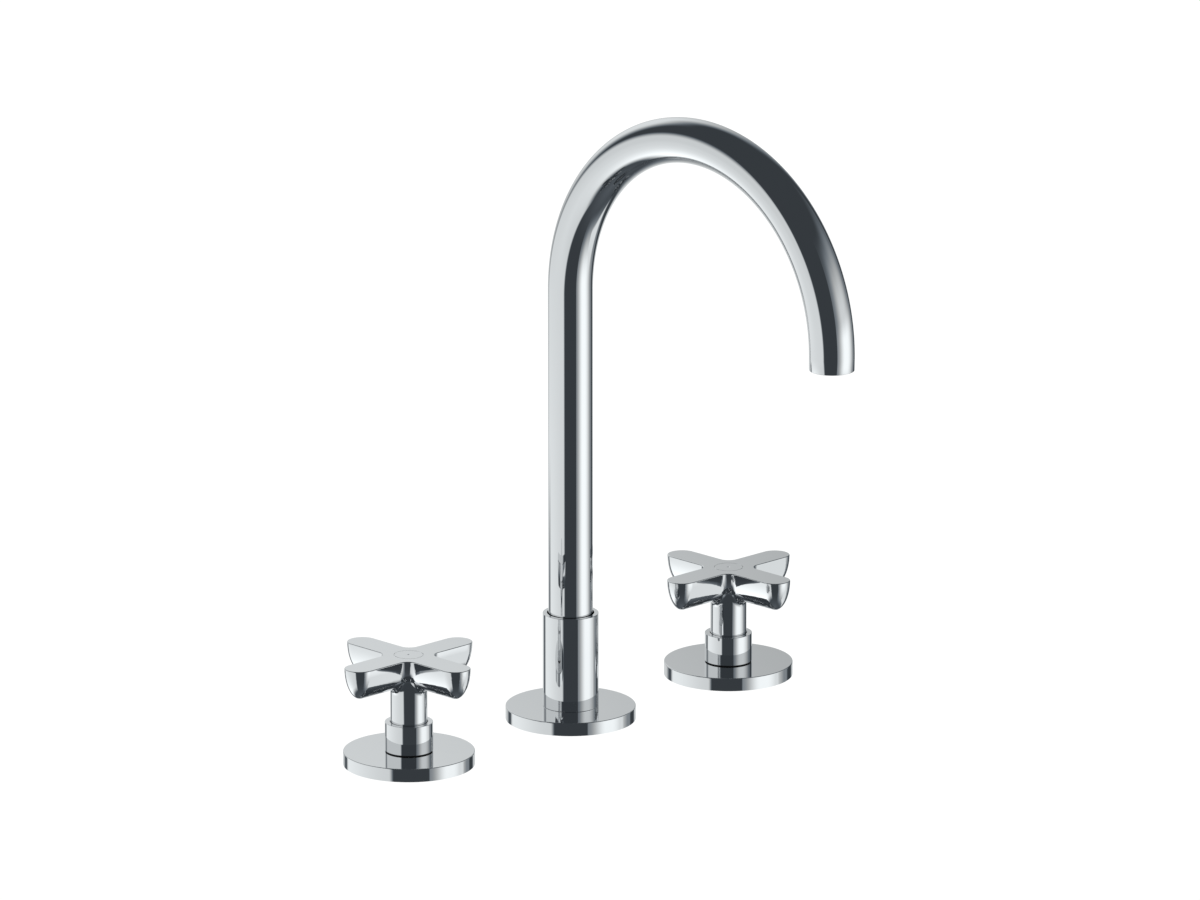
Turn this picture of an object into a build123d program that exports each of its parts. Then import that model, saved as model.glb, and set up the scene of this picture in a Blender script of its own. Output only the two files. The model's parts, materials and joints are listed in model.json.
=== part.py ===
from build123d import *
from math import cos, floor, pi, radians, sin
import os

# Three-hole basin mixer, in millimetres. The origin lies on the deck's top face, on the spout's
# axis. +Z is up. X runs along the row of holes, with the hot valve at -X and the cold valve at
# +X, and the spout points to -Y. The handles are shown shut and the deck itself is left out.

# Layout on the deck
hole_spacing = 100.0
deck_thickness = 20.0

# Gaps between pieces: a running fit, a piece seated in another, and a screw thread
running_gap = 0.05
seat_gap = 0.1
thread_gap = 0.04

# How far a cutting shape runs past the surface that it cuts
cut_past = 1.0

# Flange: a hollow turned disc with a thin top
flange_radius = 29.2
flange_height = 6.0
flange_recess_radius = 26.4
flange_recess_height = 4.2
flange_edge_rounding = 0.4
base_gasket_radius = 20.0
base_gasket_height = 1.5

# Swan-neck tube
tube_radius = 10.0
tube_wall = 1.5
arch_radius = 81.2
arch_centre_height = 198.5
tip_drop = 6.1
tube_foot_height = 31.5

# Spigot in the foot of the tube, which turns in the shank
spigot_radius = 7.5
spigot_bore_radius = 4.5
spigot_bottom = -12.0
spigot_plug_length = 13.5
spigot_collar_height = 1.5
glide_ring_height = 1.5
spigot_seal_heights = (1.0, 7.0)
spigot_groove_width = 2.0
spigot_cord_radius = 0.75

# Swivel stop: a screw tip in a part-round slot
swivel_limit = 60.0
stop_height = 18.0
stop_screw_radius = 2.0
stop_tip_radius = 1.5
stop_tip_length = 1.0
stop_slot_floor_radius = 6.2
stop_slot_half_width = 13.5
stop_key_across_flats = 2.0

# Spout collar and shank
spout_collar_radius = 12.5
spout_collar_top = 49.1
spout_collar_bore_radius = 10.6
collar_edge_rounding = 0.2
spout_collar_foot_rounding = 0.25
shank_radius = 10.48
shank_pitch = 1.814
shank_bottom = -50.0

# Aerator, recessed in the end of the tube
aerator_thread_radius = 9.25
aerator_recess = 0.5
aerator_body_radius = 7.5
aerator_seal_radius = 8.4
aerator_seal_height = 1.2
aerator_grid_thickness = 1.6
aerator_core_height = 10.1
aerator_core_wall = 0.9
aerator_lip_height = 1.0
aerator_screen_thickness = 0.5
aerator_key_slot_height = 1.0
aerator_key_slot_width = 16.0
aerator_key_slot_turns = (90, 210, 330)
aerator_hole_radius = 0.55
aerator_hole_pitch = 1.9
aerator_hole_rings = 3

# Handle: a cross of four arms on a round stem
handle_top = 50.0
arm_reach = 36.5
arm_half_width = 6.75
arm_depth = 14.0
arm_waist_radius = 4.8
arm_top_rounding = 0.4
arm_web_radius = 3.5
stem_radius = 8.2
stem_bottom = 9.0
stem_top = 42.0
stem_bore_radius = 6.8
insert_bottom = 22.0
insert_top = 38.5
insert_web = 1.3
screw_seat_height = 42.0
cap_seat_height = 48.0
cap_radius = 6.5
cap_edge = 0.15
cap_dimple_radius = 0.8
cap_dimple_depth = 0.25
screw_radius = 2.0
screw_head_radius = 3.6
screw_head_height = 3.6
screw_bottom = 25.0
screw_key_across_flats = 3.0
screw_well_radius = 4.6

# Valve collar: the gland that holds the cartridge down
valve_collar_radius = 10.7
valve_collar_top = 19.4
valve_collar_bore_radius = 8.45
gland_radius = 10.0
gland_bottom = -6.0
collar_washer_radius = 10.4
collar_washer_height = 0.5

# Cartridge
cartridge_bottom = -24.0
cartridge_shoulder_bottom = -11.0
cartridge_shell_radius = 8.2
cartridge_shell_bore_radius = 7.0
cartridge_neck_radius = 8.0
cartridge_neck_step = 7.5
cartridge_nose_radius = 6.3
cartridge_top = 13.0
cartridge_ring_height = -8.7
cartridge_ring_cord_radius = 0.8
seat_seal_height = 2.2
seat_seal_bore_radius = 4.6
disc_radius = 6.9
disc_port_inner_radius = 2.0
disc_port_outer_radius = 5.4
disc_port_width = 70.0
fixed_disc_height = 3.0
moving_disc_height = 2.6
dog_half_width = 1.5
dog_depth = 1.2
dog_inset = 1.0
shell_chamber_top = -13.0
shell_window_bottom = -18.7
shell_window_top = -15.0
spindle_radius = 4.5
spindle_seal_heights = (-3.0, 3.0)
spindle_groove_width = 1.9
spindle_cord_radius = 0.6
clip_height = 0.9
clip_radius = 6.0
clip_opening = 70.0
spline_root_radius = 3.65
spline_tip_radius = 4.0
spline_teeth = 20
spline_root_share = 0.3
spline_tip_share = 0.14
spline_bottom = 14.4
spline_top = 37.0
quarter_turn = 90.0
stop_tab_width = 40.0
stop_tab_height = 1.5
stop_slack = 1.0

# Valve body: threaded barrel, inlet riser and side outlet
barrel_radius = 13.22
barrel_pitch = 1.814
barrel_bore_radius = 10.05
barrel_top = 4.1
barrel_thread_bottom = -44.0
body_radius = 15.5
body_top = -46.0
body_bottom = -67.0
body_chamfer = 1.0
riser_radius = 6.2
riser_bore_radius = 4.2
seat_head_radius = 8.0
seat_head_height = 4.0
annulus_floor = -62.0
inlet_radius = 10.48
inlet_bottom = -82.0
inlet_chamfer = 1.0
thread_depth = 1.16
thread_land = 0.36
top_nut_across_flats = 36.0

# Clamp under the deck
deck_gasket_radius = 22.0
deck_gasket_height = 2.5
deck_washer_radius = 21.5
deck_washer_height = 2.0
lock_nut_height = 9.0
valve_nut_across_flats = 34.0
spout_nut_across_flats = 28.0
nut_chamfer_rise = 1.2

# Mixing tee and the compression unions on the link tubes
link_height = -57.0
tee_top = -42.0
tee_seal_height = 2.0
tee_chamber_radius = 7.0
tee_chamber_bottom = -62.0
union_boss_radius = 8.33
union_boss_end = 27.0
union_seat_depth = 1.5
union_socket_end = 20.0
link_tube_radius = 5.0
link_tube_wall = 1.0
link_port_radius = 4.0
union_nut_across_flats = 22.0
union_nut_start = 18.0
union_nut_end = 32.0
union_nut_wall = 2.6
olive_start = 26.0
olive_crown_radius = 6.5
olive_edge = 0.4


def turned(corners):
    """Solid turned about the Z axis from the (radius, height) corners of its half section."""
    outline = Polyline(*[(radius, 0, height) for radius, height in corners], close=True)
    return revolve(make_face(outline), Axis.Z)


def ring(outer, inner, bottom, top):
    """Plain ring about the Z axis."""
    return turned([(inner, bottom), (outer, bottom), (outer, top), (inner, top)])


def rod(radius, bottom, top):
    """Plain rod about the Z axis."""
    return turned([(0, bottom), (radius, bottom), (radius, top), (0, top)])


def sector(outer, inner, bottom, top, middle, width):
    """Part of a ring, width degrees wide about the direction middle."""
    corners = [(inner, bottom), (outer, bottom), (outer, top), (inner, top)]
    outline = Polyline(*[(radius, 0, height) for radius, height in corners], close=True)
    block = revolve(make_face(outline), Axis.Z, revolution_arc=width)
    return Rot(0, 0, middle - width / 2) * block


def o_ring(centre_radius, cord_radius, height):
    """O-ring about the Z axis."""
    return Pos(0, 0, height) * Torus(centre_radius, cord_radius)


def hexagon(across_flats, bottom, top):
    """Six-sided bar about the Z axis."""
    outline = RegularPolygon(across_flats / 2, 6, major_radius=False)
    return Pos(0, 0, bottom) * extrude(outline, top - bottom)


def hex_nut(across_flats, bore_radius, bottom, top):
    """Six-sided nut with chamfered corners and a plain bore at the thread's crest."""
    corner_radius = across_flats / 2 / cos(pi / 6)
    flat_radius = across_flats / 2
    envelope = turned([
        (bore_radius, bottom),
        (flat_radius, bottom),
        (corner_radius, bottom + nut_chamfer_rise),
        (corner_radius, top - nut_chamfer_rise),
        (flat_radius, top),
        (bore_radius, top),
    ])
    return hexagon(across_flats, bottom, top) & envelope


def outer_edge(sleeve, level):
    """Outer round edge of a turned sleeve: level 0 is its foot and level -1 is its top."""
    return sleeve.edges().filter_by(GeomType.CIRCLE).group_by(Axis.Z)[level].sort_by(SortBy.RADIUS)[-1]


def thread_grooves(radius, pitch, top, bottom):
    """(radius, height) corners, from top to bottom, of a thread drawn as parallel grooves."""
    corners = [(radius, top)]
    for turn in range(floor((top - bottom) / pitch)):
        crest = top - turn * pitch
        corners.append((radius, crest - thread_land))
        corners.append((radius - thread_depth, crest - (pitch + thread_land) / 2))
        corners.append((radius, crest - pitch))
    return corners


def along_x(shape):
    """Turns a piece that was made about the Z axis so that it lies along +X at the links' height."""
    return Pos(0, 0, link_height) * Rot(0, 90, 0) * shape


# Pieces that all three stations share

def flange(hole_radius):
    blank = ring(flange_radius, hole_radius, 0, flange_height)
    recess = ring(flange_recess_radius, hole_radius, 0, flange_recess_height)
    rim = (blank - recess).edges().filter_by(GeomType.CIRCLE).sort_by(SortBy.RADIUS)[-2:]
    return (blank - recess).fillet(flange_edge_rounding, [rim.sort_by(Axis.Z)[-1]])


def base_gasket(bore_radius):
    return ring(base_gasket_radius, bore_radius + seat_gap, 0, base_gasket_height)


def deck_gasket(bore_radius):
    top = -deck_thickness
    return ring(deck_gasket_radius, bore_radius + seat_gap, top - deck_gasket_height, top)


def deck_washer(bore_radius):
    top = -deck_thickness - deck_gasket_height
    return ring(deck_washer_radius, bore_radius + seat_gap, top - deck_washer_height, top)


def lock_nut(across_flats, thread_radius):
    top = -deck_thickness - deck_gasket_height - deck_washer_height
    return hex_nut(across_flats, thread_radius + thread_gap, top - lock_nut_height, top)


# Spout

def spout_tube():
    tip_height = arch_centre_height - tip_drop
    foot = Vector(0, 0, tube_foot_height)
    arch_start = Vector(0, 0, arch_centre_height)
    arch_top = Vector(0, -arch_radius, arch_centre_height + arch_radius)
    arch_end = Vector(0, -2 * arch_radius, arch_centre_height)
    tip = Vector(0, -2 * arch_radius, tip_height)
    route = Line(foot, arch_start) + ThreePointArc(arch_start, arch_top, arch_end) + Line(arch_end, tip)
    section = Plane(origin=foot, z_dir=(0, 0, 1)) * (Circle(tube_radius) - Circle(tube_radius - tube_wall))
    tube = sweep(section, path=route)
    aerator_bore = at_tip(rod(aerator_thread_radius, tip_height, arch_centre_height))
    return tube - aerator_bore


def spigot_groove(height):
    """Groove for one O-ring, cut down to just inside the cord."""
    floor_radius = spigot_radius - 2 * spigot_cord_radius
    half = spigot_groove_width / 2
    return ring(spigot_radius + cut_past, floor_radius, height - half, height + half)


def spout_spigot():
    collar_bottom = tube_foot_height - spigot_collar_height
    plug_radius = tube_radius - tube_wall - running_gap
    blank = turned([
        (spigot_bore_radius, spigot_bottom),
        (spigot_radius, spigot_bottom),
        (spigot_radius, collar_bottom),
        (tube_radius, collar_bottom),
        (tube_radius, tube_foot_height),
        (plug_radius, tube_foot_height),
        (plug_radius, tube_foot_height + spigot_plug_length),
        (spigot_bore_radius, tube_foot_height + spigot_plug_length),
    ])
    for height in spigot_seal_heights:
        blank -= spigot_groove(height)
    stop_slot = sector(
        spigot_radius + cut_past,
        stop_slot_floor_radius,
        stop_height - stop_tip_radius - seat_gap,
        stop_height + stop_tip_radius + seat_gap,
        90,
        2 * (swivel_limit + stop_slot_half_width),
    )
    return blank - stop_slot


def spout_o_rings():
    centre_radius = spigot_radius - spigot_cord_radius
    return Compound([o_ring(centre_radius, spigot_cord_radius, height) for height in spigot_seal_heights])


def spout_glide_ring():
    top = tube_foot_height - spigot_collar_height
    return ring(tube_radius, spigot_radius + running_gap, top - glide_ring_height, top)


def across_back(shape, height):
    """Turns a piece that was made about the Z axis so that it points to the back, +Y."""
    return Pos(0, 0, height) * Rot(-90, 0, 0) * shape


def stop_screw():
    tip_start = spigot_radius + stop_tip_length
    screw_end = spout_collar_radius - 2 * seat_gap
    body = rod(stop_screw_radius, tip_start, screw_end)
    tip = rod(stop_tip_radius, stop_slot_floor_radius + seat_gap, tip_start)
    key = hexagon(stop_key_across_flats, screw_end - stop_screw_radius, screw_end)
    return across_back(body + tip - key, stop_height)


def stop_screw_hole():
    hole = rod(stop_screw_radius + thread_gap, spigot_radius - cut_past, spout_collar_radius + cut_past)
    return across_back(hole, stop_height)


def spout_collar():
    sleeve = ring(spout_collar_radius, spout_collar_bore_radius, flange_height, spout_collar_top)
    sleeve = sleeve.fillet(collar_edge_rounding, [outer_edge(sleeve, -1)])
    sleeve = sleeve.fillet(spout_collar_foot_rounding, [outer_edge(sleeve, 0)])
    return sleeve - stop_screw_hole()


def spout_shank():
    neck_top = tube_foot_height - spigot_collar_height - glide_ring_height
    blank = turned([
        (spigot_radius + running_gap, neck_top),
        (shank_radius, neck_top),
        (shank_radius, flange_recess_height),
        (base_gasket_radius, flange_recess_height),
        (base_gasket_radius, base_gasket_height),
        *thread_grooves(shank_radius, shank_pitch, base_gasket_height, shank_bottom),
        (shank_radius, shank_bottom),
        (spigot_radius + running_gap, shank_bottom),
    ])
    return blank - stop_screw_hole()


# Aerator

def at_tip(shape):
    """Moves a piece that was made about the Z axis to the axis of the spout's tip."""
    return Pos(0, -2 * arch_radius, 0) * shape


def hole_centres(rings, pitch):
    """Centres of a close-packed pattern: one in the middle and six more in each ring round it."""
    centres = [(0, 0)]
    for step in range(1, rings + 1):
        for side in range(6):
            start = radians(60 * side)
            run = radians(60 * side + 120)
            for place in range(step):
                x = pitch * (step * cos(start) + place * cos(run))
                y = pitch * (step * sin(start) + place * sin(run))
                centres.append((x, y))
    return centres


def perforated(plate, bottom, top):
    centres = hole_centres(aerator_hole_rings, aerator_hole_pitch)
    return plate - [Pos(x, y, 0) * rod(aerator_hole_radius, bottom, top) for x, y in centres]


def aerator_housing():
    bottom = arch_centre_height - tip_drop + aerator_recess
    top = arch_centre_height - seat_gap
    housing = ring(aerator_thread_radius - running_gap, aerator_body_radius + seat_gap, bottom, top)
    slot_top = bottom + aerator_key_slot_height
    slots = [
        sector(aerator_thread_radius, 0, bottom, slot_top, middle, aerator_key_slot_width)
        for middle in aerator_key_slot_turns
    ]
    return at_tip(housing - slots)


def aerator_seal():
    bottom = arch_centre_height - seat_gap
    top = bottom + aerator_seal_height
    return at_tip(ring(aerator_seal_radius, aerator_body_radius + seat_gap, bottom, top))


def aerator_core():
    bottom = arch_centre_height - tip_drop + 2 * aerator_recess
    grid_top = bottom + aerator_grid_thickness
    lip_bottom = arch_centre_height - seat_gap + aerator_seal_height
    bore_radius = aerator_body_radius - aerator_core_wall
    blank = turned([
        (0, bottom),
        (aerator_body_radius, bottom),
        (aerator_body_radius, lip_bottom),
        (aerator_seal_radius - seat_gap, lip_bottom),
        (aerator_seal_radius - seat_gap, lip_bottom + aerator_lip_height),
        (aerator_body_radius, lip_bottom + aerator_lip_height),
        (aerator_body_radius, bottom + aerator_core_height),
        (bore_radius, bottom + aerator_core_height),
        (bore_radius, grid_top),
        (0, grid_top),
    ])
    return at_tip(perforated(blank, bottom, grid_top))


def aerator_screen():
    bottom = arch_centre_height - tip_drop + 2 * aerator_recess + aerator_core_height
    top = bottom + aerator_screen_thickness
    return at_tip(perforated(rod(aerator_body_radius, bottom, top), bottom, top))


# Handles

def half_arm_section():
    """Half of an arm's section: a quarter of an upright ellipse below the arm's flat top."""
    side = EllipticalCenterArc((0, 0), arm_half_width, arm_depth, start_angle=270, arc_size=90)
    return make_face([side, Line((arm_half_width, 0), (0, 0)), Line((0, 0), (0, -arm_depth))])


def handle_arm():
    """Arm along +X. The curve of its sides, turned about an upright axis, makes its round tip."""
    half = half_arm_section()
    section = Plane.YZ * (half + mirror(half, Plane.YZ))
    end_centre = arm_reach - arm_half_width
    tip = Pos(end_centre, 0, 0) * revolve(Plane.XZ * half, Axis.Z)
    return Pos(0, 0, handle_top) * (extrude(section, end_centre, dir=(1, 0, 0)) + tip)


def between_arms(edge):
    """Whether an edge runs down the corner where two arms meet."""
    place = edge.center()
    on_diagonal = abs(abs(place.X) - abs(place.Y)) < running_gap
    return on_diagonal and seat_gap < abs(place.X) < arm_half_width


def round_stem(edge):
    """Whether an edge lies where the stem runs into the arms."""
    box = edge.bounding_box()
    reach = max(-box.min.X, box.max.X, -box.min.Y, box.max.Y)
    low_enough = handle_top - arm_depth - seat_gap < box.min.Z and box.max.Z < cap_seat_height
    return low_enough and reach < stem_radius + seat_gap


def handle():
    cross = handle_arm()
    for turn in (90, 180, 270):
        cross += Rot(0, 0, turn) * handle_arm()
    cross = cross.fillet(arm_waist_radius, cross.edges().filter_by(between_arms))
    cross = cross.fillet(arm_top_rounding, cross.edges().group_by(Axis.Z)[-1])
    body = cross + rod(stem_radius, stem_bottom, stem_top)
    body = body.fillet(arm_web_radius, body.edges().filter_by(round_stem))
    body -= rod(stem_bore_radius, stem_bottom, insert_top)
    body -= rod(screw_radius + seat_gap, insert_top, screw_seat_height)
    body -= rod(screw_well_radius, screw_seat_height, cap_seat_height)
    body -= rod(cap_radius + running_gap, cap_seat_height, handle_top)
    return body


def splined_bar(gap, bottom, top):
    """Bar with the spindle's teeth, made larger all round by gap."""
    corners = []
    step = 2 * pi / spline_teeth
    for tooth in range(spline_teeth):
        for share, radius in (
            (-spline_root_share, spline_root_radius),
            (-spline_tip_share, spline_tip_radius),
            (spline_tip_share, spline_tip_radius),
            (spline_root_share, spline_root_radius),
        ):
            angle = (tooth + share) * step
            corners.append(((radius + gap) * cos(angle), (radius + gap) * sin(angle)))
    return Pos(0, 0, bottom) * extrude(make_face(Polyline(*corners, close=True)), top - bottom)


def handle_insert():
    blank = rod(stem_bore_radius - running_gap, insert_bottom, insert_top)
    socket = splined_bar(running_gap, insert_bottom, insert_top - insert_web)
    return blank - socket - rod(screw_radius + seat_gap, insert_top - insert_web, insert_top)


def handle_screw():
    head_top = screw_seat_height + screw_head_height
    head = rod(screw_head_radius, screw_seat_height, head_top)
    key = hexagon(screw_key_across_flats, head_top - screw_radius, head_top)
    return rod(screw_radius, screw_bottom, screw_seat_height) + head - key


def index_cap():
    plug_radius = screw_well_radius - running_gap
    plug_bore_radius = screw_head_radius + seat_gap
    plug_bottom = screw_seat_height + screw_head_height + seat_gap
    return turned([
        (0, cap_seat_height),
        (plug_bore_radius, cap_seat_height),
        (plug_bore_radius, plug_bottom),
        (plug_radius, plug_bottom),
        (plug_radius, cap_seat_height),
        (cap_radius, cap_seat_height),
        (cap_radius, handle_top - cap_edge),
        (cap_radius - cap_edge, handle_top),
        (cap_dimple_radius, handle_top),
        (0, handle_top - cap_dimple_depth),
    ])


# Valve collar and cartridge

def valve_collar():
    collar_bottom = flange_height + collar_washer_height
    sleeve = turned([
        (valve_collar_bore_radius, gland_bottom),
        (gland_radius, gland_bottom),
        (gland_radius, collar_bottom),
        (valve_collar_radius, collar_bottom),
        (valve_collar_radius, valve_collar_top),
        (valve_collar_bore_radius, valve_collar_top),
    ])
    return sleeve.fillet(collar_edge_rounding, [outer_edge(sleeve, -1)])


def collar_washer():
    top = flange_height + collar_washer_height
    return ring(collar_washer_radius, gland_radius + running_gap, flange_height, top)


def cartridge_body(opening_turn):
    """opening_turn is the spindle's travel in degrees, positive anticlockwise from above."""
    ring_half = cartridge_ring_cord_radius + seat_gap
    ring_floor_radius = barrel_bore_radius - running_gap - 2 * cartridge_ring_cord_radius
    shoulder_radius = barrel_bore_radius - seat_gap
    body = turned([
        (cartridge_shell_bore_radius, cartridge_bottom),
        (cartridge_shell_radius, cartridge_bottom),
        (cartridge_shell_radius, cartridge_shoulder_bottom),
        (shoulder_radius, cartridge_shoulder_bottom),
        (shoulder_radius, cartridge_ring_height - ring_half),
        (ring_floor_radius, cartridge_ring_height - ring_half),
        (ring_floor_radius, cartridge_ring_height + ring_half),
        (shoulder_radius, cartridge_ring_height + ring_half),
        (shoulder_radius, gland_bottom),
        (cartridge_neck_radius, gland_bottom),
        (cartridge_neck_radius, cartridge_neck_step),
        (cartridge_nose_radius, cartridge_neck_step),
        (cartridge_nose_radius, cartridge_top),
        (spindle_radius + running_gap, cartridge_top),
        (spindle_radius + running_gap, shell_chamber_top),
        (cartridge_shell_bore_radius, shell_chamber_top),
    ])
    for middle in (0, 180):
        body -= sector(
            cartridge_shell_radius + cut_past,
            spindle_radius,
            shell_window_bottom,
            shell_window_top,
            middle,
            disc_port_width,
        )
    return body - stop_pocket(opening_turn)


def stop_pocket(opening_turn):
    """Pocket over the spindle's foot in which its stop tab travels."""
    return sector(
        cartridge_shell_bore_radius,
        spindle_radius,
        shell_chamber_top,
        shell_chamber_top + stop_tab_height + seat_gap,
        opening_turn / 2,
        abs(opening_turn) + stop_tab_width + 2 * stop_slack,
    )


def cartridge_o_ring():
    centre_radius = barrel_bore_radius - running_gap - cartridge_ring_cord_radius
    return o_ring(centre_radius, cartridge_ring_cord_radius, cartridge_ring_height)


def cartridge_seal():
    return ring(disc_radius, seat_seal_bore_radius, cartridge_bottom, cartridge_bottom + seat_seal_height)


def fixed_disc():
    bottom = cartridge_bottom + seat_seal_height
    top = bottom + fixed_disc_height
    ports = [
        sector(disc_port_outer_radius, disc_port_inner_radius, bottom, top, middle, disc_port_width)
        for middle in (0, 180)
    ]
    return rod(disc_radius, bottom, top) - ports


def foot_bottom():
    """Height of the spindle's foot, which stands on the moving disc."""
    return cartridge_bottom + seat_seal_height + fixed_disc_height + running_gap + moving_disc_height


def moving_disc():
    """Disc that covers the ports when shut; its side notches meet them after a quarter turn."""
    top = foot_bottom()
    bottom = top - moving_disc_height
    notches = [
        sector(disc_radius + cut_past, disc_port_inner_radius, bottom, top, middle, disc_port_width)
        for middle in (90, 270)
    ]
    slot = Pos(0, 0, top - dog_depth / 2) * Box(2 * disc_radius, 2 * dog_half_width, dog_depth)
    return rod(disc_radius - running_gap, bottom, top) - notches - slot


def spindle():
    foot_radius = disc_radius - running_gap
    foot_top = shell_chamber_top - running_gap
    clip_bottom = cartridge_top + seat_gap
    clip_floor_radius = spindle_radius - spindle_cord_radius
    shaft = turned([
        (0, foot_bottom()),
        (foot_radius, foot_bottom()),
        (foot_radius, foot_top),
        (spindle_radius, foot_top),
        (spindle_radius, clip_bottom),
        (clip_floor_radius, clip_bottom),
        (clip_floor_radius, clip_bottom + clip_height),
        (spindle_radius, clip_bottom + clip_height),
        (spindle_radius, spline_bottom),
        (0, spline_bottom),
    ])
    groove_floor_radius = spindle_radius - 2 * spindle_cord_radius
    for height in spindle_seal_heights:
        half = spindle_groove_width / 2
        shaft -= ring(spindle_radius + cut_past, groove_floor_radius, height - half, height + half)
    dog_length = 2 * (foot_radius - dog_inset)
    dog_height = dog_depth - seat_gap
    dog_place = Pos(0, 0, foot_bottom() - dog_height / 2)
    dog = dog_place * Box(dog_length, 2 * dog_half_width - seat_gap, dog_height)
    tab_top = foot_top + stop_tab_height
    tab = sector(foot_radius, spindle_radius - cut_past, foot_top, tab_top, 0, stop_tab_width)
    shaft = shaft + splined_bar(0, spline_bottom, spline_top) + dog + tab
    return shaft - rod(screw_radius + thread_gap, screw_bottom - cut_past, spline_top)


def spindle_o_rings():
    centre_radius = spindle_radius - spindle_cord_radius
    return Compound([o_ring(centre_radius, spindle_cord_radius, height) for height in spindle_seal_heights])


def spindle_clip():
    """Open retaining ring in the spindle's groove, just above the cartridge."""
    bottom = cartridge_top + seat_gap
    inner = spindle_radius - spindle_cord_radius + running_gap
    return sector(clip_radius, inner, bottom, bottom + clip_height, 180, 360 - clip_opening)


# Unions: each is made about +X, from the valve's or the tee's own axis

def union_boss():
    """Side boss with an olive seat and a socket for the link tube."""
    return along_x(rod(union_boss_radius, barrel_bore_radius + cut_past, union_boss_end))


def union_boss_bore():
    seat_radius = link_tube_radius + seat_gap + union_seat_depth
    return along_x(turned([
        (0, barrel_bore_radius - cut_past),
        (link_port_radius, barrel_bore_radius - cut_past),
        (link_port_radius, union_socket_end),
        (link_tube_radius + seat_gap, union_socket_end),
        (link_tube_radius + seat_gap, union_boss_end - union_seat_depth),
        (seat_radius, union_boss_end),
        (0, union_boss_end),
    ]))


def union_nut():
    wall_start = union_nut_end - union_nut_wall
    nut = hex_nut(union_nut_across_flats, link_tube_radius + seat_gap, union_nut_start, union_nut_end)
    thread = rod(union_boss_radius + thread_gap, union_nut_start, wall_start)
    return along_x(nut - thread)


def union_olive():
    inner = link_tube_radius + running_gap / 2
    olive_end = union_nut_end - union_nut_wall
    taper = olive_crown_radius - inner - olive_edge
    return along_x(turned([
        (inner, olive_start),
        (inner + olive_edge, olive_start),
        (olive_crown_radius, olive_start + taper),
        (olive_crown_radius, olive_end - taper),
        (inner + olive_edge, olive_end),
        (inner, olive_end),
    ]))


def link_tube():
    """Straight tube from one socket to the other, made about the hot valve's axis."""
    start = union_socket_end + seat_gap
    end = hole_spacing - union_socket_end - seat_gap
    return along_x(ring(link_tube_radius, link_tube_radius - link_tube_wall, start, end))


# Valve body and mixing tee

def valve_body():
    seat_height = cartridge_bottom
    blank = turned([
        (riser_bore_radius, inlet_bottom),
        (inlet_radius - inlet_chamfer, inlet_bottom),
        (inlet_radius, inlet_bottom + inlet_chamfer),
        (inlet_radius, body_bottom),
        (body_radius - body_chamfer, body_bottom),
        (body_radius, body_bottom + body_chamfer),
        (body_radius, body_top - body_chamfer),
        (body_radius - body_chamfer, body_top),
        *reversed(thread_grooves(barrel_radius, barrel_pitch, barrel_top, barrel_thread_bottom)),
        (barrel_bore_radius, barrel_top),
        (barrel_bore_radius, annulus_floor),
        (riser_radius, annulus_floor),
        (riser_radius, seat_height - seat_head_height),
        (seat_head_radius, seat_height - seat_head_height),
        (seat_head_radius, seat_height),
        (riser_bore_radius, seat_height),
    ])
    return blank + union_boss() - union_boss_bore()


def mixing_tee():
    seal_ledge = shank_bottom - tee_seal_height
    tee = turned([
        (0, body_bottom),
        (body_radius - body_chamfer, body_bottom),
        (body_radius, body_bottom + body_chamfer),
        (body_radius, tee_top - body_chamfer),
        (body_radius - body_chamfer, tee_top),
        (0, tee_top),
    ])
    for turn in (0, 180):
        tee += Rot(0, 0, turn) * union_boss()
    tee -= rod(shank_radius + thread_gap, seal_ledge, tee_top)
    tee -= rod(tee_chamber_radius, tee_chamber_bottom, seal_ledge)
    tee -= along_x(rod(link_port_radius, -barrel_bore_radius, barrel_bore_radius))
    for turn in (0, 180):
        tee -= Rot(0, 0, turn) * union_boss_bore()
    return tee


def tee_seal():
    return ring(shank_radius, tee_chamber_radius, shank_bottom - tee_seal_height, shank_bottom)


def valve_top_nut():
    return hex_nut(top_nut_across_flats, barrel_radius + thread_gap, base_gasket_height, barrel_top)


# Where each set of pieces stands
hot_place = Pos(-hole_spacing, 0, 0)
cold_place = Pos(hole_spacing, 0, 0) * Rot(0, 0, 180)
tee_turned = Rot(0, 0, 180)
both_valves = (hot_place, cold_place)
all_unions = (hot_place, tee_turned, Pos(0, 0, 0), cold_place)

spout_pieces = {
    "spout_tube": spout_tube(),
    "spout_spigot": spout_spigot(),
    "spout_o_rings": spout_o_rings(),
    "spout_glide_ring": spout_glide_ring(),
    "spout_stop_screw": stop_screw(),
    "spout_collar": spout_collar(),
    "spout_flange": flange(shank_radius + seat_gap),
    "spout_base_gasket": base_gasket(shank_radius),
    "spout_shank": spout_shank(),
    "spout_deck_gasket": deck_gasket(shank_radius),
    "spout_deck_washer": deck_washer(shank_radius),
    "spout_lock_nut": lock_nut(spout_nut_across_flats, shank_radius),
    "mixing_tee": mixing_tee(),
    "tee_seal": tee_seal(),
    "aerator_housing": aerator_housing(),
    "aerator_seal": aerator_seal(),
    "aerator_core": aerator_core(),
    "aerator_screen": aerator_screen(),
}

valve_pieces = {
    "handle": handle(),
    "handle_insert": handle_insert(),
    "handle_screw": handle_screw(),
    "index_cap": index_cap(),
    "valve_collar": valve_collar(),
    "flange": flange(gland_radius + seat_gap),
    "base_gasket": base_gasket(barrel_radius),
    "valve_body": valve_body(),
    "cartridge_o_ring": cartridge_o_ring(),
    "cartridge_seal": cartridge_seal(),
    "fixed_disc": fixed_disc(),
    "moving_disc": moving_disc(),
    "spindle": spindle(),
    "spindle_o_rings": spindle_o_rings(),
    "spindle_clip": spindle_clip(),
    "deck_gasket": deck_gasket(barrel_radius),
    "link_tube": link_tube(),
}

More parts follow.
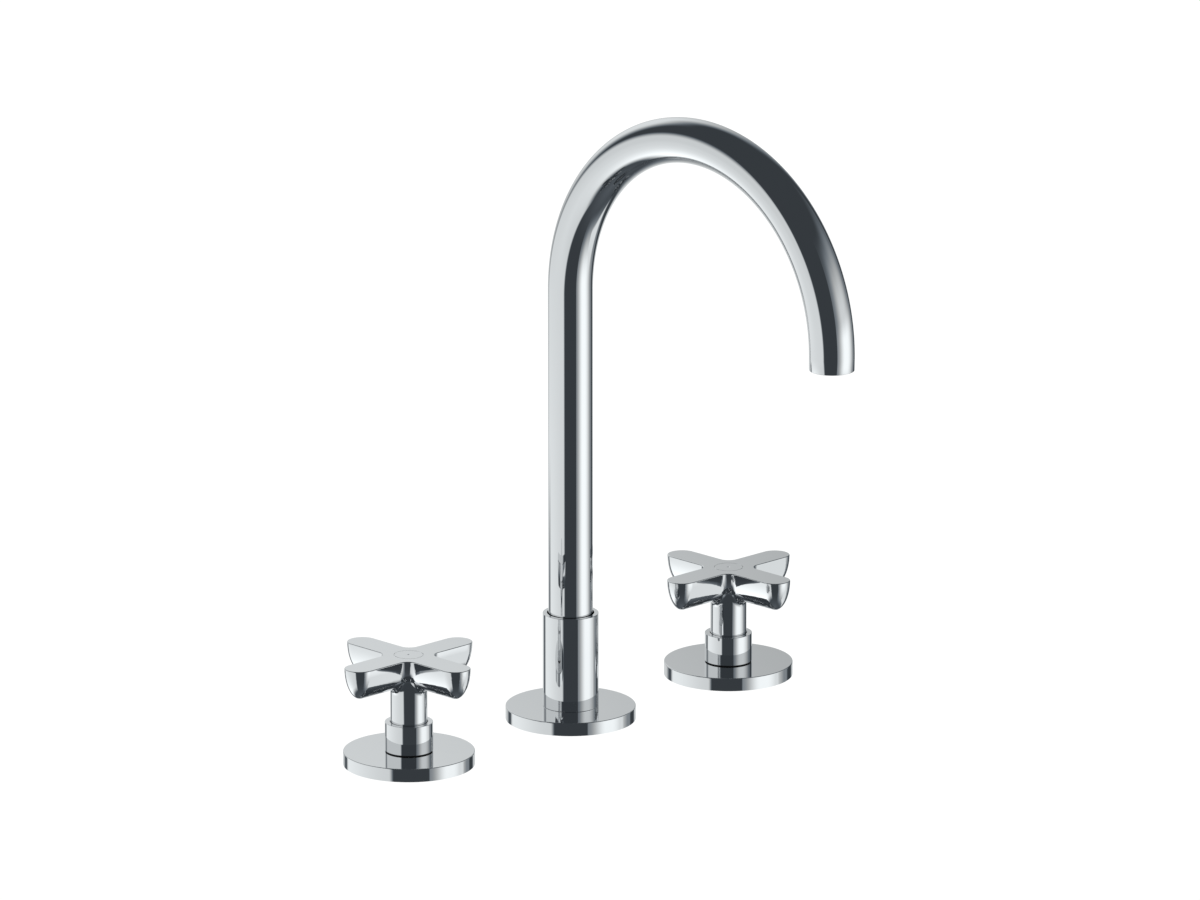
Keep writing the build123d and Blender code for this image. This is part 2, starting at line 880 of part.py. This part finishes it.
shared_pieces = {
    "collar_washers": (collar_washer(), both_valves),
    "valve_top_nuts": (valve_top_nut(), both_valves),
    "valve_deck_washers": (deck_washer(barrel_radius), both_valves),
    "valve_lock_nuts": (lock_nut(valve_nut_across_flats, barrel_radius), both_valves),
    "union_nuts": (union_nut(), all_unions),
    "union_olives": (union_olive(), all_unions),
}

os.makedirs("parts", exist_ok=True)

for name, piece in spout_pieces.items():
    export_step(piece, f"parts/{name}.step")

for name, piece in valve_pieces.items():
    export_step(hot_place * piece, f"parts/hot_{name}.step")
    export_step(cold_place * piece, f"parts/cold_{name}.step")

export_step(hot_place * cartridge_body(quarter_turn), "parts/hot_cartridge_body.step")
export_step(cold_place * cartridge_body(-quarter_turn), "parts/cold_cartridge_body.step")

for name, (piece, places) in shared_pieces.items():
    export_step(Compound([place * piece.solid() for place in places]), f"parts/{name}.step")
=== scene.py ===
# %% [markdown]
# # A three-hole basin mixer in polished chrome
# The mixer stands on a deck: a swan-neck spout in the middle, and a cross-handled valve on each
# side of it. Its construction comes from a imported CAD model, which is loaded here as a fixed
# frame in metres. Everything after that is about looks. The pieces whose CAD shape is already
# right keep it and only get a finish, and the long bent tube is modelled again, because polished
# chrome shows every small flat facet of a loose triangle mesh.

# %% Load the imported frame
import json
import math

import bpy
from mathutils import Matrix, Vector


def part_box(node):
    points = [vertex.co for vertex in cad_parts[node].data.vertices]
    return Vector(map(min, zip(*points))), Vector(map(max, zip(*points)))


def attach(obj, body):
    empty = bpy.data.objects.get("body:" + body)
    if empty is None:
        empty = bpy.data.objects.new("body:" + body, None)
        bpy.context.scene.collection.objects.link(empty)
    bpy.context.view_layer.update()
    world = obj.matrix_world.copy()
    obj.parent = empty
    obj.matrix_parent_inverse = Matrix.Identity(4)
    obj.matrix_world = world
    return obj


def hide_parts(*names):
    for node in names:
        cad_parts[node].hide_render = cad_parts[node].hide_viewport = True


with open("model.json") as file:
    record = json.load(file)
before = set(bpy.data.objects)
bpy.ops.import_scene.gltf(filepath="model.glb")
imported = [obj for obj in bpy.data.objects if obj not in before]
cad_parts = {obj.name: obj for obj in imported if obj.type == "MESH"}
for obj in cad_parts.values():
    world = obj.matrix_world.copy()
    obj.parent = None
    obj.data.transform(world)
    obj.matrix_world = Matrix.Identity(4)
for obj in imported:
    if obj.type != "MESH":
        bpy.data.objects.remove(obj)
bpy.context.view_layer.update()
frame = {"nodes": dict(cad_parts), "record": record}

nodes = frame["nodes"]
slot_of = {part["node"]: part["material_slot"] for part in frame["record"]["subparts"]}
print(f"{len(nodes)} CAD nodes in {len(set(slot_of.values()))} finishes")

# %% [markdown]
# ## Nodes as sums
# A finish is a tree of shader nodes, and a node's outputs and inputs are joined by wires. Long
# chains of Math nodes are hard to read in code, so a wire is wrapped in a small class whose plus,
# minus, times and divide each add a Math node. A finish then reads like the formula that it is.

# %% A wire that can be reckoned with
class Wire:
    """The value on one output socket, with Python's operators as Math nodes."""

    def __init__(self, sheet, socket):
        self.sheet = sheet
        self.socket = socket

    def math(self, operation, first, *others):
        numbers = dict(enumerate((first, *others)))
        return self.sheet.node("ShaderNodeMath", {"operation": operation}, numbers)

    def __add__(self, other):
        return self.math("ADD", self, other)

    def __radd__(self, other):
        return self.math("ADD", other, self)

    def __sub__(self, other):
        return self.math("SUBTRACT", self, other)

    def __rsub__(self, other):
        return self.math("SUBTRACT", other, self)

    def __mul__(self, other):
        return self.math("MULTIPLY", self, other)

    def __rmul__(self, other):
        return self.math("MULTIPLY", other, self)

    def __truediv__(self, other):
        return self.math("DIVIDE", self, other)

    def __rtruediv__(self, other):
        return self.math("DIVIDE", other, self)

    def larger(self, other):
        return self.math("MAXIMUM", self, other)

    def ramp(self, start, end):
        """0 before start, 1 after end, and a slope with soft ends between them."""
        values = {"Value": self, "From Min": start, "From Max": end}
        return self.sheet.node("ShaderNodeMapRange", {"interpolation_type": "SMOOTHSTEP"}, values)

    def out(self, name):
        """Another output of the node that this wire comes from."""
        return Wire(self.sheet, self.socket.node.outputs[name])

# %% [markdown]
# Any other node comes from one method. It takes the node's type, then its settings, and then the
# values or wires of its sockets, by name or by place. The settings come first, because some of
# them change which sockets a node has.

# %% A sheet to draw nodes on
class Sheet:
    """A node tree, emptied first."""

    def __init__(self, tree):
        self.tree = tree
        self.tree.nodes.clear()

    def node(self, kind, settings=None, sockets=None):
        """Adds a node and gives the wire from its first output."""
        made = self.tree.nodes.new(kind)
        for name, value in (settings or {}).items():
            setattr(made, name, value)
        for name, value in (sockets or {}).items():
            usable = [socket for socket in made.inputs if socket.enabled]
            if isinstance(name, int):
                socket = usable[name]
            else:
                socket = next(socket for socket in usable if socket.name == name)
            if isinstance(value, Wire):
                self.tree.links.new(value.socket, socket)
            elif socket.type == "RGBA":
                socket.default_value = (*value, 1)
            else:
                socket.default_value = value
        shown = [socket for socket in made.outputs if socket.enabled]
        return Wire(self, shown[0]) if shown else None

    def place(self, stretch=(1, 1, 1)):
        """Object coordinates in metres, drawn out or squeezed along each axis."""
        spot = self.node("ShaderNodeTexCoord").out("Object")
        return self.node("ShaderNodeVectorMath", {"operation": "MULTIPLY"}, {0: spot, 1: stretch})

    def noise(self, size, detail=3, stretch=(1, 1, 1)):
        """Cloudy noise from 0 to 1 whose lumps are about this many metres across."""
        values = {"Vector": self.place(stretch), "Scale": 1 / size, "Detail": detail}
        return self.node("ShaderNodeTexNoise", None, values)

    def blend(self, share, first, second):
        """A colour between two others."""
        values = {"Factor": share, "A": first, "B": second}
        return self.node("ShaderNodeMix", {"data_type": "RGBA"}, values)

# %% [markdown]
# ## The camera
# The photograph was taken from the front left and a little above, from so far away that the
# three flanges look almost the same size. The camera stands at that angle and distance, with the
# long lens that gives the same frame.

# %% Camera
camera_azimuth = -44.51
camera_elevation = 15.463
photo_width, photo_height = 1200, 900
focal_pixels = 12071
camera_distance = 5.348
aim = Vector((0, -0.040, 0.120))
aim_pixel = (633.67, 476.46)


def towards(azimuth, elevation):
    """Unit vector to where a camera at this azimuth and elevation stands."""
    turn = math.radians(azimuth)
    rise = math.radians(elevation)
    return Vector((math.sin(turn) * math.cos(rise), -math.cos(turn) * math.cos(rise), math.sin(rise)))


lens = bpy.data.cameras.new("camera")
lens.sensor_width = 36
lens.lens = focal_pixels / photo_width * lens.sensor_width
lens.clip_end = 100
camera = bpy.data.objects.new("camera", lens)
bpy.context.scene.collection.objects.link(camera)
bpy.context.scene.camera = camera
back = towards(camera_azimuth, camera_elevation)
turn = (-back).to_track_quat("-Z", "Y")
right = turn @ Vector((1, 0, 0))
up = turn @ Vector((0, 1, 0))
pixel = camera_distance / focal_pixels
camera.rotation_mode = "QUATERNION"
camera.rotation_quaternion = turn
camera.location = (
    aim + back * camera_distance
    - right * (aim_pixel[0] - photo_width / 2) * pixel
    + up * (aim_pixel[1] - photo_height / 2) * pixel
)
bpy.context.scene.view_settings.view_transform = "Standard"
print("camera at", [round(x, 3) for x in camera.location], "lens", round(lens.lens, 1))

# %% [markdown]
# ## White room
# The photograph's background is pure white with no shadow on it. The sky is white, and a white
# sheet that glows by itself is the floor. The floor could be lit by lamps, but a lit floor always
# has a shade of grey and a contact shadow. Mirrors don't see this floor: they see the light tent.

# %% White sky
world = bpy.data.worlds.new("white_sky")
world.use_nodes = True
bpy.context.scene.world = world
sky = Sheet(world.node_tree)
white_light = sky.node("ShaderNodeBackground", None, {"Color": (1, 1, 1), "Strength": 1.0})
sky.node("ShaderNodeOutputWorld", None, {"Surface": white_light})
print(len(world.node_tree.nodes), "nodes make the sky")

# %% White floor
floor_width = 24
floor_glow = 1.06


def new_finish(name):
    """A material and the empty sheet of its nodes."""
    material = bpy.data.materials.new(name)
    material.use_nodes = True
    return material, Sheet(material.node_tree)


def shine(sheet, colour, strength):
    """Ends a finish that gives light by itself."""
    light = sheet.node("ShaderNodeEmission", None, {"Color": colour, "Strength": strength})
    sheet.node("ShaderNodeOutputMaterial", None, {"Surface": light})


white_paper, sheet = new_finish("white_paper")
shine(sheet, (1, 1, 1), floor_glow)
white_paper.cycles.emission_sampling = "NONE"

bpy.ops.object.select_all(action="DESELECT")
bpy.ops.mesh.primitive_plane_add(size=floor_width, location=(0, 0, 0))
floor = bpy.context.object
floor.name = "studio_floor"
floor.data.materials.append(white_paper)
floor.visible_glossy = False
floor.visible_diffuse = False
floor.visible_shadow = False
print("floor", floor_width, "m wide")

# %% [markdown]
# ## The light tent that the chrome reflects
# Polished chrome has no colour of its own: it shows what stands round it. Here that is a round
# tent, which the camera looks straight through, with the light painted on its inside as a formula.
# A world picture would be simpler, but it is endlessly far away. A photographer's lamps stand so
# near that the foot of the mixer sees them at other angles than its top does.
#
# Angles on the tent are in degrees. The side is counted from the camera's own direction, and is
# more than 0 on its right. The angle called behind is counted from the direction that the camera
# looks in, and is more than 0 on its left. The height is counted from level.

# %% Light tent: directions from its middle
tent_radius = 0.95
tent_middle = aim

bpy.ops.object.select_all(action="DESELECT")
bpy.ops.mesh.primitive_uv_sphere_add(segments=96, ring_count=48, radius=tent_radius, location=tent_middle)
tent = bpy.context.object
tent.name = "light_tent"
bpy.ops.object.transform_apply(location=True, rotation=True, scale=True)
tent.visible_camera = False
tent.visible_shadow = False

tent_light, sheet = new_finish("tent_light")
tent_light.cycles.emission_sampling = "NONE"
tent.data.materials.append(tent_light)
spot = sheet.node("ShaderNodeTexCoord").out("Object")
from_middle = sheet.node("ShaderNodeVectorMath", {"operation": "SUBTRACT"}, {0: spot, 1: tent_middle})
direction = sheet.node("ShaderNodeVectorMath", {"operation": "NORMALIZE"}, {0: from_middle})
axes = sheet.node("ShaderNodeSeparateXYZ", None, {0: direction})
east, north, rise = axes.out("X"), axes.out("Y"), axes.out("Z")
degree = 180 / math.pi
heading = east.math("ARCTAN2", east, 0 - north) * degree - camera_azimuth
side = heading.math("WRAP", heading, 180.0, -180.0)
behind = heading.math("WRAP", heading + 180, 180.0, -180.0)
height = rise.math("ARCSINE", rise) * degree
print(len(tent.data.polygons), "faces on the tent, which is", 2 * tent_radius, "m across")

# %% [markdown]
# Every lamp on the tent is its strength times its four edges. An edge is soft: it is a ramp from
# the angle where the light has gone to the angle where it is full.

# %% Light tent: one lamp
def lamp(strength, left, right, top, foot):
    """Light of this strength inside four soft edges."""
    return strength * left * right * top * foot


def arc(angle, middle, start, flatness):
    """Where a bent edge runs: at start in its middle, and off by the square of the way from there."""
    way = angle - middle
    return start + way * way / flatness

# %% [markdown]
# The big soft box stands on the left. Its upper edge is an arc, and its lower edge is a far
# flatter one. Its near edge gives the crisp line between light and dark that runs up every tube.
# That edge is upright low down and bends away from the camera higher up. Above level the box runs
# out along its arc, and low down it ends sooner. It is brightest in its far lower corner.

# %% Light tent: left soft box
upright_side = -33.8
upright_height = -50
bend_length = 36
bend = (height - upright_height) / bend_length
near_edge = upright_side - bend * bend * bend * bend
far_end = side.ramp(-134, -123).larger(height.ramp(-20, -14))
top_arc = arc(side, middle=-78, start=32, flatness=-105)
foot_arc = arc(side, middle=-110, start=-52, flatness=1900)
lift_below_level = 0.065 * height.ramp(10, -4)
dip_lower_down = 0.04 * height.ramp(-12, -24)
far_corner = 0.694 * height.ramp(-2, -57) * side.ramp(-35, -120)
left_box = lamp(
    0.683 + lift_below_level - dip_lower_down + far_corner,
    left=far_end,
    right=(side - near_edge).ramp(4, -4),
    top=(height - top_arc).ramp(9, -9),
    foot=(height - foot_arc).ramp(-9, 9),
)
print(len(tent_light.node_tree.nodes), "nodes so far")

# %% [markdown]
# A second box on the right is brightest a little below level. It starts with a faint crisp line
# and grows slowly, and it ends in the same way. A smaller box lights the lower sides of the
# handles' arms, and its far edge leans.

# %% Light tent: right soft boxes
near_line = 0.22
far_line = 0.2
near_slope = near_line * side.ramp(28, 31) + (1 - near_line) * side.ramp(30, 66)
far_slope = side.ramp(139, 78).larger(far_line * side.ramp(135, 129))
below_level = height.ramp(10, 0) * height.ramp(-167, -16)
right_box = lamp(
    0.718 + 0.416 * below_level,
    left=near_slope,
    right=far_slope,
    top=height.ramp(48, 10),
    foot=height.ramp(-69, -16),
)
low_box = lamp(
    0.80,
    left=side.ramp(72, 84),
    right=(side + 0.85 * height).ramp(98, 84),
    top=height.ramp(-9, -18),
    foot=height.ramp(-55, -47),
)
print(len(tent_light.node_tree.nodes), "nodes so far")

# %% [markdown]
# Behind the mixer hangs a pale sheet that fades towards the right. The flat tops of the flanges and
# handles mirror it. The outlines of the upright pieces mirror a second sheet, which hangs lower.
# Between the boxes and the sheets is a dark gap on each side, which draws the dark line near the
# outline of every round piece.

# %% Light tent: sheets behind the mixer
back_sheet = lamp(
    0.79,
    left=behind.ramp(55, 26),
    right=behind.ramp(-38, 15),
    top=height.ramp(58, 32),
    foot=height.ramp(-33, 22),
)
low_sheet = lamp(
    0.689,
    left=behind.ramp(44, 26),
    right=behind.ramp(-32, -20),
    top=height.ramp(33, -21),
    foot=height.ramp(-61, -15),
)
print(len(tent_light.node_tree.nodes), "nodes so far")

# %% [markdown]
# The rest of the tent is nearly black, and a little lighter far below. The dark parts are slightly
# blue and the bright parts have only a breath of green and blue, as on the photograph's chrome.

# %% Light tent: all together
dark_tint = (0.86, 1.0, 1.14)
bright_tint = (0.975, 1.01, 1.02)
room = 0.052 + 0.084 * height.ramp(-32, -120)
light = room + left_box.larger(right_box).larger(low_box).larger(back_sheet).larger(low_sheet)
tint = sheet.blend(light.ramp(0.05, 0.5), dark_tint, bright_tint)
glow = sheet.node("ShaderNodeVectorMath", {"operation": "SCALE"}, {0: tint, "Scale": light})
shine(sheet, glow, 1.0)
print(len(tent_light.node_tree.nodes), "nodes paint the tent")

# %% [markdown]
# ## Finishes
# A finish varies in three ways: its colour drifts, its roughness drifts, and it has a fine relief.
# The relief is only microns deep on polished metal and about a tenth of a millimetre on rubber.

# %% Joining a finish together
finishes = {}


def dress(sheet, colour, roughness, relief, depth, metallic=0.0):
    """Ends a finish: its relief becomes bumps this many metres deep."""
    bumps = sheet.node("ShaderNodeBump", None, {"Height": relief, "Distance": depth})
    skin = sheet.node("ShaderNodeBsdfPrincipled", None, {
        "Base Color": colour,
        "Metallic": metallic,
        "Roughness": roughness,
        "Normal": bumps,
    })
    sheet.node("ShaderNodeOutputMaterial", None, {"Surface": skin})
    print(len(sheet.tree.nodes), "nodes make this finish")

# %% [markdown]
# Chrome plate is a mirror that gives back about four fifths of the light, a little more blue than
# red. What makes it real is the faint haze that wiping leaves, and the slow waves of a surface
# that was polished by hand before it was plated.

# %% Polished chrome
finishes["chrome"], sheet = new_finish("polished_chrome")
haze = sheet.noise(size=0.022)
smear = sheet.noise(size=0.004, stretch=(1, 1, 0.2))
waves = sheet.noise(size=0.009, detail=1)
dress(
    sheet,
    colour=sheet.blend(haze, (0.785, 0.795, 0.805), (0.805, 0.812, 0.82)),
    roughness=0.008 + 0.016 * haze + 0.008 * smear,
    relief=waves,
    depth=0.000004,
    metallic=1.0,
)

# %% [markdown]
# The brass below the deck isn't plated. It is turned on a lathe, so it has fine rings across its
# axis, and it has gone darker and redder in patches.

# %% Turned brass
finishes["brass"], sheet = new_finish("turned_brass")
rings = sheet.noise(size=0.0006, detail=2, stretch=(0.03, 0.03, 1))
patina = sheet.noise(size=0.011, detail=4)
clean_brass = sheet.blend(rings, (0.70, 0.49, 0.20), (0.80, 0.60, 0.29))
dress(
    sheet,
    colour=sheet.blend(patina.ramp(0.48, 0.72), clean_brass, (0.46, 0.27, 0.11)),
    roughness=0.20 + 0.14 * patina + 0.08 * rings,
    relief=rings,
    depth=0.00003,
    metallic=1.0,
)

# %% [markdown]
# Copper tube is drawn through a die, which leaves lines along it. Handling tarnishes it.

# %% Drawn copper
finishes["copper"], sheet = new_finish("drawn_copper")
lines = sheet.noise(size=0.0005, detail=2, stretch=(0.02, 1, 1))
tarnish = sheet.noise(size=0.014, detail=4)
clean_copper = sheet.blend(lines, (0.78, 0.36, 0.22), (0.86, 0.46, 0.30))
dress(
    sheet,
    colour=sheet.blend(tarnish.ramp(0.5, 0.75), clean_copper, (0.40, 0.17, 0.10)),
    roughness=0.18 + 0.20 * tarnish + 0.06 * lines,
    relief=lines,
    depth=0.00002,
    metallic=1.0,
)

# %% [markdown]
# Washers, screws and the screen are stainless steel, brushed on the flat and greyer than chrome.

# %% Brushed stainless steel
finishes["stainless_steel"], sheet = new_finish("brushed_stainless_steel")
brush = sheet.noise(size=0.0005, detail=3, stretch=(1, 0.04, 1))
stain = sheet.noise(size=0.012)
dress(
    sheet,
    colour=sheet.blend(stain, (0.50, 0.49, 0.47), (0.62, 0.61, 0.59)),
    roughness=0.24 + 0.12 * brush + 0.08 * stain,
    relief=brush,
    depth=0.00002,
    metallic=1.0,
)

# %% [markdown]
# Rubber is black, dull and a little dusty, and its moulded skin has a fine pebble.

# %% Rubber
finishes["rubber"], sheet = new_finish("black_rubber")
pebble = sheet.noise(size=0.0007, detail=4)
dust = sheet.noise(size=0.008, detail=4)
dress(
    sheet,
    colour=sheet.blend(dust.ramp(0.45, 0.8), (0.008, 0.008, 0.009), (0.024, 0.023, 0.022)),
    roughness=0.62 + 0.20 * dust,
    relief=pebble,
    depth=0.00008,
)

# %% [markdown]
# Moulded plastic is smoother than rubber. It has the even grain of an etched mould, and its shade
# varies a little with the way that the melt flowed.

# %% White and grey plastic
for slot, pale, deep in (
    ("white_plastic", (0.80, 0.80, 0.77), (0.70, 0.70, 0.66)),
    ("grey_plastic", (0.30, 0.31, 0.32), (0.23, 0.24, 0.25)),
):
    finishes[slot], sheet = new_finish("moulded_" + slot)
    grain = sheet.noise(size=0.0004, detail=3)
    flow = sheet.noise(size=0.010)
    dress(
        sheet,
        colour=sheet.blend(flow, deep, pale),
        roughness=0.36 + 0.14 * grain + 0.06 * flow,
        relief=grain,
        depth=0.00002,
    )

# %% [markdown]
# The two sorts of ceramic disc are lapped flat, so they shine softly, and they have the tiny
# specks of a fired body.

# %% Lapped ceramics
for slot, body, speck in (
    ("white_ceramic", (0.84, 0.82, 0.76), (0.62, 0.58, 0.50)),
    ("dark_ceramic", (0.055, 0.055, 0.06), (0.16, 0.16, 0.17)),
):
    finishes[slot], sheet = new_finish("lapped_" + slot)
    specks = sheet.noise(size=0.0005, detail=2).ramp(0.62, 0.72)
    lapping = sheet.noise(size=0.0003, detail=3)
    dress(
        sheet,
        colour=sheet.blend(specks, body, speck),
        roughness=0.12 + 0.10 * lapping + 0.2 * specks,
        relief=lapping,
        depth=0.000004,
    )

# %% [markdown]
# The CAD model's record says what each node is made of, and the node gets the finish of that name.

# %% Give every CAD node its finish
for name, node in nodes.items():
    node.data.materials.clear()
    node.data.materials.append(finishes[slot_of[name]])
print(len(nodes), "nodes have one of", len(finishes), "finishes")

# %% [markdown]
# ## The swan-neck tube
# The CAD tube is a mesh of loose triangles, and the inside of the arch shows them as grain. The
# tube is modelled again with even rings: a circle of points is drawn up the straight leg, spun
# half a turn over the arch and drawn down to the tip. A ring just below the arch keeps the bend's
# smooth shading from running down the leg's long faces. At the tip the wall turns in on itself
# with a tiny round, and the same way back makes the bore, so that the tube is closed and really
# hollow. Inside the tip the bore is wider, because the aerator's housing sits there.

# %% Tube: sizes in metres
tube_radius = 0.0100
tube_bore = 0.0085
tip_bore = 0.00925
tube_foot = 0.0315
arch_radius = 0.0812
arch_height = 0.1985
tip_height = 0.1924
points_round = 144
arch_steps = 150
ring_below_arch = 0.002
tip_round = 0.0002
round_part_in = 0.3 * tip_round
round_part_down = 0.65 * tip_round
print("tube", round(arch_height + arch_radius + tube_radius - tube_foot, 4), "m tall")

# %% Tube: tools to draw it with
def draw_ring(rise, before=1.0, after=1.0, centre=(0, 0, 0)):
    """Extrudes the chosen ring upwards, and then takes it from one radius to another."""
    bpy.ops.mesh.extrude_region_move(TRANSFORM_OT_translate={"value": (0, 0, rise)})
    share = after / before
    bpy.ops.transform.resize(value=(share, share, 1), center_override=centre)


def spin_ring(angle):
    """Spins the chosen ring about the middle of the arch."""
    middle = (0, -arch_radius, arch_height)
    bpy.ops.mesh.spin(steps=arch_steps, angle=angle, center=middle, axis=(1, 0, 0))

# %% Tube: the way up, over, down and back
bpy.ops.object.select_all(action="DESELECT")
bpy.ops.mesh.primitive_circle_add(vertices=points_round, radius=tube_radius, location=(0, 0, 0))
tube = bpy.context.object
tube.name = "swan_neck_tube"
bpy.ops.object.mode_set(mode="EDIT")
bpy.ops.mesh.select_all(action="SELECT")
bpy.ops.transform.translate(value=(0, 0, tube_foot))
draw_ring(arch_height - ring_below_arch - tube_foot)
draw_ring(ring_below_arch)
spin_ring(-math.pi)
tip_centre = (0, -2 * arch_radius, tip_height)
draw_ring(tip_height - arch_height + tip_round)
draw_ring(-round_part_down, tube_radius, tube_radius - round_part_in, tip_centre)
draw_ring(round_part_down - tip_round, tube_radius - round_part_in, tube_radius - tip_round, tip_centre)
draw_ring(0, tube_radius - tip_round, tip_bore, tip_centre)
draw_ring(arch_height - tip_height)
draw_ring(0, tip_bore, tube_bore, tip_centre)
spin_ring(math.pi)
draw_ring(tube_foot - arch_height)
draw_ring(0, tube_bore, tube_radius)
print("the spout's tip is at", [round(x, 4) for x in tip_centre])

# %% Tube: close it and smooth it
bpy.ops.mesh.select_all(action="SELECT")
bpy.ops.mesh.remove_doubles(threshold=0.00001)
bpy.ops.mesh.normals_make_consistent(inside=False)
bpy.ops.object.mode_set(mode="OBJECT")
bpy.ops.object.shade_smooth_by_angle(angle=math.radians(40))
tube.data.materials.append(finishes["chrome"])
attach(tube, "spout")
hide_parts("spout_tube")
print(len(tube.data.polygons), "faces on the tube")

# %% [markdown]
# ## Under the deck
# Below the floor are the threads, nuts and links that a deck would hide. The camera doesn't see
# them, and the mirrors above must not either, or the flanges' rims would show them where the
# photograph shows plain light. Every piece that reaches below the deck is taken out of the
# reflections, apart from the chrome collars. They start a little below the deck, but most of a
# collar stands above it, and the flange round it mirrors it.

# %% Keep the hidden pieces out of the reflections
deck_margin = 0.001
reaches_below = [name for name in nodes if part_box(name)[0][2] < -deck_margin]
hidden = [name for name in reaches_below if slot_of[name] != "chrome"]
for name in hidden:
    nodes[name].visible_glossy = False
print(len(hidden), "pieces are out of the mirrors' sight")
